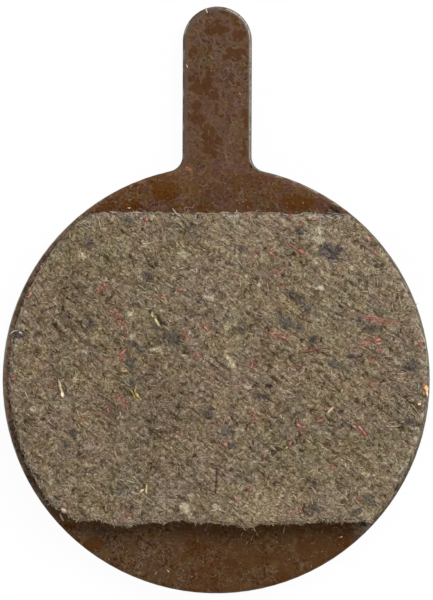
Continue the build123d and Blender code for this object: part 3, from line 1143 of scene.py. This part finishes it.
WRINKLE_HEIGHT = 0.025
HOLLOW_GAP = 1.8 * RIM_WIDTH  # from a rim to the hollow inside it

# Round spots where the resin frothed: column and row
FROTH_SPOTS = [
    (267, 538), (294, 538), (231, 545), (274, 545), (292, 548), (269, 550), (234, 556), (295, 556),
    (304, 564), (275, 565), (271, 571), (230, 580), (221, 572), (247, 586), (301, 567), (190, 560),
]
FROTH_RADIUS = 0.17

# Amber pools: column and row, half width and half height in millimetres
AMBER_POOLS = [
    (221, 30, 0.58, 0.40), (240, 35, 0.40, 0.30), (236, 52, 0.52, 0.40), (193, 52, 0.20, 0.48),
    (191, 78, 0.18, 0.25), (204, 90, 0.88, 0.30), (215, 96, 0.30, 0.15), (197, 106, 0.40, 0.30),
    (197, 120, 0.45, 0.45), (210, 135, 0.40, 0.55), (212, 152, 0.45, 0.35), (245, 120, 0.20, 0.60),
    (166, 191, 0.75, 0.45), (132, 206, 0.40, 0.22), (109, 206, 0.45, 0.15), (203, 209, 0.40, 0.20),
    (298, 203, 0.95, 0.38), (250, 205, 0.25, 0.20), (260, 177, 0.25, 0.12), (94, 546, 0.50, 0.50),
    (197, 545, 0.70, 0.30), (232, 562, 0.40, 0.30), (205, 572, 0.60, 0.25), (265, 560, 0.45, 0.30),
    (310, 545, 0.60, 0.40), (345, 540, 0.70, 0.30), (285, 578, 0.40, 0.20), (68, 527, 0.40, 0.20),
]

# Resin that crept over the plate's rolled edge
ROLL_RADIUS = 0.12
CREEP_REACH = 0.075  # on average
CREEP_THICKNESS = 0.02
CREEP_LIMITS = (0.01, 0.11)
TAB_BARE = 0.04  # how much less it reaches on the tab, and at the barer parts of the edge
EDGE_BARE = 0.03
CREEP_SINK = 0.002  # keeps its thin end in the steel
CREEP_STEPS = (0.35, 0.7, 0.9, 1.0)  # rings of points, as shares of the reach
FILM_LOOP = evenly(outline_of("adhesive_film", FILM_TOP), FILM_SPACING)
film_depth = depth_field(evenly(FILM_LOOP, FILM_FIELD_STEP))


def tab_share(y):
    """Whether points lie on the tab, from 0 to 1 across its root."""
    return ramped(y, *TAB_ROOT)


def amber_share(x, y):
    """How much of the resin at each point lies in a smooth amber pool."""
    on_tab = tab_share(y)
    patches = layered(x, y, (0.7, 0.45, 63), (0.5, 0.16, 65))
    off_tab = np.where(y < 0, 0.2 + 0.5 * ramped(x, *LOW_CHANGE), 0.32 + 0.1 * (x < -2))
    share = blend(0.3 * patches + off_tab, 1.6 * patches + 0.3, on_tab)
    warp_x = x + layered(x, y, (0.10, 0.16, 61), (0.14, 0.5, 69))
    warp_y = y + layered(x, y, (0.10, 0.16, 62), (0.14, 0.5, 70))
    for column, row, half_width, half_height in AMBER_POOLS:
        centre = from_pixel(column, row, FILM_TOP)
        radius = np.hypot((warp_x - centre[0]) / half_width, (warp_y - centre[1]) / half_height)
        share = np.maximum(share, 3.5 - 3.0 * radius)
    return np.clip(share, 0, 1)


def bare_film(rng, count, margin=0.08):
    """Random places on the resin that shows."""
    places = rng.uniform(FILM_LOOP.min(0), FILM_LOOP.max(0), (count * 9, 2))
    return places[(film_depth(places) > margin) & (lining_depth(places) < -margin)][:count]


def skin_scales(x, y):
    """Raised rims and hollows of the wrinkled skin, each from 0 to 1."""
    rng = np.random.default_rng(64)
    centres = bare_film(rng, SCALE_TRIES, 0.0)
    chance = (1 - 0.95 * amber_share(*centres.T)) * (0.85 + 0.15 * tab_share(centres[:, 1]))
    centres = centres[rng.random(len(centres)) < chance]
    rims = np.zeros(x.shape)
    hollows = np.zeros(x.shape)
    x, y = x + 0.07 * noise(x, y, 0.15, 67), y + 0.07 * noise(x, y, 0.15, 68)
    for middle_x, middle_y in centres:
        radius = drawn(rng.lognormal, None, *SCALE_RADII) * (0.7 + 0.3 * tab_share(middle_y))
        opening = rng.uniform(0.0, 0.85)
        strength = rng.uniform(0.25, 1.0)
        near = np.flatnonzero((np.abs(x - middle_x) < 2 * radius) & (np.abs(y - middle_y) < 2 * radius))
        across, up = x[near] - middle_x, y[near] - middle_y
        turn = np.arctan2(up, across) - rng.uniform(0, math.tau)
        uneven = 1 + 0.15 * np.sin(2 * turn + rng.uniform(0, math.tau)) + 0.1 * np.sin(5 * turn)
        gap = np.hypot(across, up) - radius * uneven
        strength = strength * ramped(np.cos(turn), opening, opening + 0.3)
        rims[near] = np.maximum(rims[near], strength * falloff(gap, RIM_WIDTH))
        hollows[near] = np.maximum(hollows[near], strength * falloff(gap + HOLLOW_GAP, RIM_WIDTH))
    return rims, hollows


def froth_share(x, y):
    """How much each point lies in one of the froth spots."""
    share = np.zeros(x.shape)
    for column, row in FROTH_SPOTS:
        centre = from_pixel(column, row, FILM_TOP)
        radius = np.hypot(x - centre[0], y - centre[1]) / FROTH_RADIUS + 0.35 * noise(x, y, 0.15, 58)
        share = np.maximum(share, np.clip((1.2 - radius) * 2.5, 0, 1))
    return share


def sand(x, y):
    """Grain of the resin, about zero: faint on the tab, coarse on the left shoulder and below the lining."""
    fine = layered(x, y, (0.8, 0.075, 57), (0.5, 0.14, 59))
    clusters = np.clip(0.7 + 0.9 * noise(x, y, 0.6, 55), 0.2, 1.3)
    flaky = layered(x, y, (2.0, 0.075, 57), (0.7, 0.17, 56)) * clusters
    coarse = np.where(y < 0, 1.0, ramped(x, -1.5, -2.5))
    return blend(fine, flaky, coarse) * (1 - 0.3 * tab_share(y))


def wrinkles(x, y):
    """Fine winding wrinkles of the skin off the tab, from 0 to 1."""
    above = np.clip(1 - 6 * np.abs(noise(x, y, 0.21, 71)), 0, 1)
    below = np.clip(1 - 5 * np.abs(noise(x, y, 0.14, 72)), 0, 1)
    patches = np.clip(0.4 + 1.1 * noise(x, y, 0.55, 73), 0, 1)
    return np.where(y < 0, below, above) * patches * (1 - tab_share(y)) * (1 - 0.85 * amber_share(x, y))


def worn_rim_and_painted_light(x, y):
    """Colours of the worn resin at the disc's left end and its lower right, and its share, with painted light
    on the left end.
    """
    above = np.degrees(np.arctan2(y, -x))
    left = ramped(-x, 6.3, 6.7) * ramped(above, -39, -35)
    right = ramped(x, 6.5, 7.3) * ramped(y, 1, 0)
    # painted light: the left end is painted brighter around its middle, against the lining's shadow
    level = np.interp(above, *zip(*LEFT_END_PAINTED_LIGHT))
    level = np.where(x > 0, 1.0, level) * (1 + layered(x, y, (0.35, 0.22, 74), (0.6, 0.085, 75)))
    red_patches = ramped(film_depth(np.stack([x, y], axis=1)), *RED_PATCH_DEPTHS)
    red_patches = (red_patches * np.clip(0.5 + 0.9 * noise(x, y, 0.3, 76), 0, 1) * (above > -12))[:, None]
    resin = np.where(x[:, None] > 0, DULL, blend(WORN, RED_PATCH, red_patches))
    return resin * level[:, None], (left + right)[:, None]


def skin_colours(x, y):
    """Colours of the skin, which wanders from purplish to olive, and of the amber pools in it."""
    on_tab = tab_share(y)
    low = y < 0
    dark = np.clip(0.5 + 0.9 * noise(x, y, 0.7, 60), 0, 1)[:, None]
    skin = np.where(low[:, None], LOW_SKIN * (1.1 - 0.2 * dark), blend(SKIN, DARK_SKIN, dark))
    olive = layered(x, y, (1.1, 0.45, 77), (0.6, 0.16, 78)) * (1 - 0.4 * on_tab) * (1 - 0.5 * low)
    amber = amber_share(x, y) * (1 - 0.35 * on_tab - 0.15 * low)
    return blend(skin * (1 + olive[:, None] * OLIVE_SHIFT), AMBER, amber[:, None])


def pale_share(x, y, depth, rims):
    """How pale the resin is painted: painted highlights along rims, the pools' lips and fine wrinkles, and
    paleness along the disc's upper edge.
    """
    on_tab = tab_share(y)
    pools = amber_share(x, y)
    lips = 1.5 * pools * (1 - pools) * on_tab
    fine = np.where(y < 0, 0.3, 0.6) * wrinkles(x, y)
    edge = 0.2 * ramped(depth, 0.12, 0) * (1 - on_tab) * (y > 0)
    return np.maximum.reduce([(0.75 + 0.25 * on_tab) * rims, lips, fine, edge])


def film_colours(x, y, depth, rims, hollows):
    """Colours of the resin, grainy off the tab, with painted highlights and shade on its relief, strips along
    the tab's sides, and a worn rim partly lit by painted light.
    """
    on_tab = tab_share(y)
    colours = blend(skin_colours(x, y), SPOT, FROTH_COVER * froth_share(x, y)[:, None])
    colours = colours * (1 - HOLLOW_SHADE * hollows)[:, None]
    colours = blend(colours, RIM, pale_share(x, y, depth, rims)[:, None])
    low_level = blend(LOW_LEFT_LEVEL, LOW_RIGHT_LEVEL, ramped(x, *LOW_CHANGE))
    # painted light: brighter near the lining's lower edge, against its shadow
    low_level *= 1 + 0.4 * ramped(lining_depth(np.stack([x, y], axis=1)), -PAINTED_LIGHT_REACH, 0)
    level = np.where(y < 0, low_level, blend(SHOULDER_LEVEL, TAB_LEVEL, on_tab))
    grains = sand(x, y) * (1 - np.where(y < 0, 0.75, 0.6) * amber_share(x, y))
    colours = np.clip(colours * level[:, None] + HAZE * grains[:, None], AMBER / 4, 1)
    width = np.where(x < 0, TAB_LEFT_STRIP, TAB_RIGHT_STRIP)
    strip = np.clip(1.2 - depth / width, 0, 0.85) * on_tab
    colours = blend(colours, np.where(x[:, None] < 0, TAB_LEFT, TAB_RIGHT), strip[:, None])
    return blend(colours, *worn_rim_and_painted_light(x, y))


def creep_rings():
    """Rings of points where the resin crept over the rolled edge. It left the tab's right side bare."""
    x, y = FILM_LOOP.T
    uneven = layered(x, y, (0.03, 0.7, 21), (0.02, 0.2, 22))
    right_of_tab = ramped(x, 0.6, 1.4) * tab_share(y)
    right_shoulder = np.where((x > 1.5) & (x < 6), ramped(y, 8, 8.5), 0)
    ends = ramped(np.abs(x), 9, 10)
    bare = TAB_BARE * tab_share(y)
    for part in (right_of_tab, right_shoulder, ends):
        bare = bare + EDGE_BARE * part
    reach = np.clip(CREEP_REACH + uneven - bare, *CREEP_LIMITS)
    normal = outward(FILM_LOOP)
    rings = []
    for share in CREEP_STEPS:
        out = reach * share
        fall = rounded_drop(ROLL_RADIUS - out, ROLL_RADIUS)
        height = PLATE_FRONT - fall + CREEP_THICKNESS * (1 - share**2) - CREEP_SINK
        rings.append(np.column_stack([FILM_LOOP + normal * out[:, None], height]))
    return rings


def make_film(material):
    """The closed film of resin on the plate's front, dense where it shows."""
    rng = np.random.default_rng(66)
    dense = hex_grid(FILM_LOOP, FILM_SPACING, rng)
    dense = dense[(film_depth(dense) > CLEAR_OF_EDGE * FILM_SPACING) & (lining_depth(dense) < FINE_BELOW)]
    coarse = hex_grid(FILM_LOOP, FILM_COARSE, rng)
    coarse = coarse[lining_depth(coarse) > COARSE_FROM]
    flat, faces = triangulated(FILM_LOOP, np.vstack([dense, coarse]))
    count = len(FILM_LOOP)
    x, y = flat.T
    depth = film_depth(flat)
    depth[:count] = 0
    rims, hollows = skin_scales(x, y)
    relief = RIM_HEIGHT * rims - HOLLOW_DEPTH * hollows
    relief = relief + GRAIN_HEIGHT * sand(x, y) + WRINKLE_HEIGHT * wrinkles(x, y)
    shows = ramped(depth, 0, 0.1) * (lining_depth(flat) < 0)
    height = FILM_TOP - FILM_EDGE_FALL * rounded_drop(depth, FILM_EDGE_ROUND) + relief * shows
    skirt = creep_rings() + [np.column_stack([FILM_LOOP, np.full(count, PLATE_FRONT)])]
    points = np.vstack([np.column_stack([flat, height])] + skirt)
    add_walls(faces, len(flat), count, len(skirt))
    colours = film_colours(x, y, depth, rims, hollows)
    colours = np.vstack([colours] + [colours[:count]] * len(skirt))
    piece = add_piece("resin_film", points, faces, material, colours)
    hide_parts("adhesive_film")


# Fibres that fell on the resin: column and row, length and width in millimetres, heading and colour
STRAYS = 220  # more of them, small and strewn at random
STRAY_LENGTHS = (0.06, 0.18)
STRAY_WIDTHS = (0.035, 0.06)
FALLEN_LIFT = 0.02
FALLEN_FIBRES = [
    (206.5, 10.5, 0.32, 0.085, -72, (0.70, 0.62, 0.36)), (189, 168.5, 0.52, 0.10, -22, (0.40, 0.150, 0.095)),
    (188, 170, 0.40, 0.09, -20, (0.44, 0.19, 0.13)), (191, 170.5, 0.36, 0.09, -26, (0.34, 0.13, 0.085)),
    (187, 66, 0.22, 0.085, -60, (0.55, 0.48, 0.36)), (240, 94, 0.20, 0.085, -40, (0.36, 0.26, 0.19)),
    (168, 571, 0.26, 0.085, -50, (0.52, 0.42, 0.30)), (156, 573, 0.26, 0.085, 55, (0.36, 0.26, 0.19)),
    (284, 530, 0.40, 0.085, 75, (0.34, 0.24, 0.18)), (341, 537, 0.18, 0.10, 20, (0.58, 0.50, 0.40)),
    (253, 529, 0.35, 0.08, 30, (0.30, 0.21, 0.15)), (129, 208, 0.17, 0.12, 0, (0.75, 0.66, 0.50)),
    (130, 200, 0.32, 0.09, 15, (0.20, 0.16, 0.08)), (115, 202, 0.18, 0.08, 60, (0.30, 0.20, 0.14)),
    (331, 207, 0.22, 0.14, 40, (0.050, 0.038, 0.030)), (334, 209.5, 0.26, 0.16, -30, (0.035, 0.025, 0.020)),
    (338, 211, 0.24, 0.15, 15, (0.040, 0.028, 0.020)), (341, 213.5, 0.28, 0.14, -35, (0.040, 0.028, 0.020)),
    (328, 210, 0.20, 0.12, -60, (0.060, 0.046, 0.040)), (336, 207.5, 0.18, 0.12, 70, (0.060, 0.050, 0.030)),
    (334, 204.5, 0.40, 0.09, -28, (0.30, 0.26, 0.10)), (341, 208, 0.30, 0.08, -40, (0.22, 0.19, 0.09)),
    (329, 213, 0.30, 0.10, -5, (0.26, 0.22, 0.20)), (251, 166, 0.22, 0.10, -70, (0.030, 0.022, 0.016)),
    (258, 170.5, 0.32, 0.10, -35, (0.22, 0.19, 0.15)), (243, 202, 0.14, 0.11, 20, (0.30, 0.21, 0.11)),
    (239, 204, 0.12, 0.10, 80, (0.26, 0.18, 0.10)), (303, 203, 0.10, 0.10, 0, (0.34, 0.24, 0.14)),
    # The fibres at rows 528 to 543 lie in the lining's shadow, and their colours are painted paler: painted
    # light that eases that shadow.
    (61.8, 517, 0.50, 0.15, -60, (0.62, 0.41, 0.30)), (244, 528.5, 0.30, 0.07, -50, (0.70, 0.58, 0.40)),
    (254, 529, 0.32, 0.07, -60, (0.70, 0.58, 0.40)), (252, 538, 0.30, 0.06, 80, (0.34, 0.25, 0.15)),
    (247, 543, 0.24, 0.06, 75, (0.28, 0.20, 0.12)), (257, 534, 0.26, 0.06, -70, (0.36, 0.27, 0.17)),
    (242, 534, 0.26, 0.06, 60, (0.36, 0.27, 0.17)), (205, 529, 0.22, 0.06, 70, (0.40, 0.30, 0.20)),
]


def make_fallen_fibres(material):
    """Short fibres and splinters that lie on the resin: the listed ones, and strays."""
    rng = np.random.default_rng(78)
    strays = bare_film(rng, STRAYS)
    strays = strays[rng.random(len(strays)) < 1 - 0.8 * tab_share(strays[:, 1])]
    count = len(strays)
    columns, rows, lengths, widths, headings, colours = zip(*FALLEN_FIBRES)
    listed = [from_pixel(column, row, FILM_TOP) for column, row in zip(columns, rows)]
    lengths = np.concatenate([lengths, rng.uniform(*STRAY_LENGTHS, count)])
    widths = np.concatenate([widths, rng.uniform(*STRAY_WIDTHS, count)])
    headings = np.concatenate([np.radians(headings), rng.uniform(0, math.tau, count)])
    colours = np.vstack([colours, RIM * rng.uniform(0.8, 2.0, (count, 1))])
    flat = flat_paths(rng, np.vstack([listed, strays]), headings, lengths, bend=0.25, wiggle=0.08)
    height = np.full(flat.shape[:2], FILM_TOP + FALLEN_LIFT)
    add_fibres("fallen_fibres", np.dstack([flat, height]), widths, colours, material, 0.6)


# Dust
DUST_TRIES = 1800
DUST_LIFT = 0.008
DUST_RADII = (0.02, 0.045)
LUMP_STEPS = (6, 3)  # points around and rings of a grain
SPECK_TONES = [(0.0, (0.085, 0.052, 0.026)), (0.85, (0.155, 0.105, 0.053)), (1.0, (0.24, 0.175, 0.095))]


def unit_ball():
    """Points and faces of a small round grain."""
    around, rings = LUMP_STEPS
    turns = np.arange(around) / around * math.tau
    turn, tilt = np.meshgrid(turns, np.linspace(0, math.pi, rings + 2)[1:-1])
    shell = np.stack([np.sin(tilt) * np.cos(turn), np.sin(tilt) * np.sin(turn), np.cos(tilt)], axis=-1)
    points = np.vstack([[UP], shell.reshape(-1, 3), [-UP]])
    last = len(points) - 1
    ring = 1 + np.arange(rings)[:, None] * around + np.arange(around)
    beside = np.roll(ring, -1, axis=1)
    faces = [(0, here, there) for here, there in zip(ring[0], beside[0])]
    for step in range(rings - 1):
        faces += list(zip(ring[step + 1], beside[step + 1], beside[step], ring[step]))
    faces += [(last, there, here) for here, there in zip(ring[-1], beside[-1])]
    return points, faces


def make_dust(material):
    """Grains of dust that stuck to the resin."""
    rng = np.random.default_rng(76)
    places = bare_film(rng, DUST_TRIES)
    chance = (1 - 0.85 * tab_share(places[:, 1])) * (1 - 0.7 * ramped(amber_share(*places.T), 0.5, 1))
    places = places[rng.random(len(places)) < chance]
    ball, ball_faces = unit_ball()
    each = len(ball)
    count = len(places)
    sizes = rng.uniform(*DUST_RADII, (count, 1, 1)) * rng.uniform(0.6, 1.4, (count, 1, 3))
    swell = 1 + rng.uniform(-0.25, 0.25, (count, each, 1))
    middles = np.column_stack([places, np.full(count, FILM_TOP + DUST_LIFT)])
    points = (ball[None] * swell * sizes + middles[:, None]).reshape(-1, 3)
    starts = range(0, len(points), each)
    faces = [tuple(start + corner for corner in face) for start in starts for face in ball_faces]
    colours = np.repeat(interpolated(SPECK_TONES, rng.random(count)), each, axis=0)
    add_piece("resin_dust", points, faces, material, colours)


# The pad
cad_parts["backing_plate"].material_slots[0].material = steel_material()
make_film(resin_material())
make_fallen_fibres(fibre_material("fallen_fibre", 0.6))
make_dust(fibre_material("dust", 0.8, 0.02))
make_lining_body(felt_material())
felt_fibre = fibre_material("felt_fibre", 0.85)
make_felt(felt_fibre)
make_edge_fuzz(felt_fibre)
make_wall_fibres(felt_fibre)
make_red_bundles(fibre_material("red_fibre", 0.8))
make_dots(felt_fibre)
make_slivers(fibre_material("sliver", 0.45, 0.4))
make_edge_curls(felt_fibre)


# Stage, light and camera
FLOOR_REACH = 1200.0
FLOOR_DROP = 0.02  # a hair below the plate's back
FLOOR_COLOUR = (0.9, 0.9, 0.9, 1.0)
FLOOR_GLOW = 0.96  # how much of the floor's white is its own, as the camera sees it


def make_stage():
    """A white floor that keeps a faint shadow of the pad."""
    mesh = bpy.data.meshes.new("floor")
    corners = [(-1, -1), (1, -1), (1, 1), (-1, 1)]
    points = [(x * FLOOR_REACH * MM, y * FLOOR_REACH * MM, -FLOOR_DROP * MM) for x, y in corners]
    mesh.from_pydata(points, [], [(0, 1, 2, 3)])
    floor = add_object("floor", mesh)
    material, tree, shader = new_material("white_floor")
    feed(tree, shader, {"Base Color": FLOOR_COLOUR, "Roughness": 1.0, "Specular IOR Level": 0.0})
    white = node(tree, "ShaderNodeEmission", {"Color": (1, 1, 1, 1), "Strength": 1.0})
    path = node(tree, "ShaderNodeLightPath")
    seen = path.outputs["Is Camera Ray"]
    for ray in ("Is Glossy Ray", "Is Transmission Ray"):
        seen = combined(tree, "ADD", seen, path.outputs[ray])
    share = node(tree, "ShaderNodeMath", {0: seen, 1: FLOOR_GLOW}, operation="MULTIPLY", use_clamp=True)
    both = node(tree, "ShaderNodeMixShader", {0: share.outputs[0], 1: shader.outputs[0], 2: white.outputs[0]})
    tree.links.new(both.outputs[0], tree.nodes["Material Output"].inputs["Surface"])
    mesh.materials.append(material)


def add_softbox(name, place_mm, size_mm, power):
    """A square area lamp that faces the pad."""
    lamp = bpy.data.lights.new(name, "AREA")
    lamp.size = size_mm * MM
    lamp.energy = power
    softbox = add_object(name, lamp)
    softbox.location = Vector(place_mm) * MM
    softbox.rotation_euler = (-softbox.location).to_track_quat("-Z", "Y").to_euler()
    softbox.visible_camera = False


def make_world(strength):
    """An even white surround."""
    world = bpy.data.worlds.new("surround")
    world.use_nodes = True
    background = world.node_tree.nodes["Background"]
    background.inputs["Color"].default_value = (1, 1, 1, 1)
    background.inputs["Strength"].default_value = strength
    bpy.context.scene.world = world


def make_camera():
    """The photograph's view: square-on from above, with the tab at the top."""
    camera = bpy.data.cameras.new("camera")
    camera.sensor_width = 36.0
    camera.lens = camera.sensor_width * CAMERA_DISTANCE / (IMAGE_HEIGHT / PIXELS_PER_MM)
    camera.clip_start = 10 * MM
    holder = add_object("camera", camera)
    holder.location = (CAMERA_X * MM, CAMERA_Y * MM, (PLATE_FRONT + CAMERA_DISTANCE) * MM)
    holder.rotation_euler = (0, 0, math.radians(CAMERA_ROLL))
    bpy.context.scene.camera = holder


make_stage()
make_world(strength=0.55)
add_softbox("key", place_mm=(110, 140, 340), size_mm=160, power=0.9)
add_softbox("fill", place_mm=(-170, -200, 260), size_mm=240, power=0.1)
make_camera()
bpy.context.scene.view_settings.view_transform = "Standard"
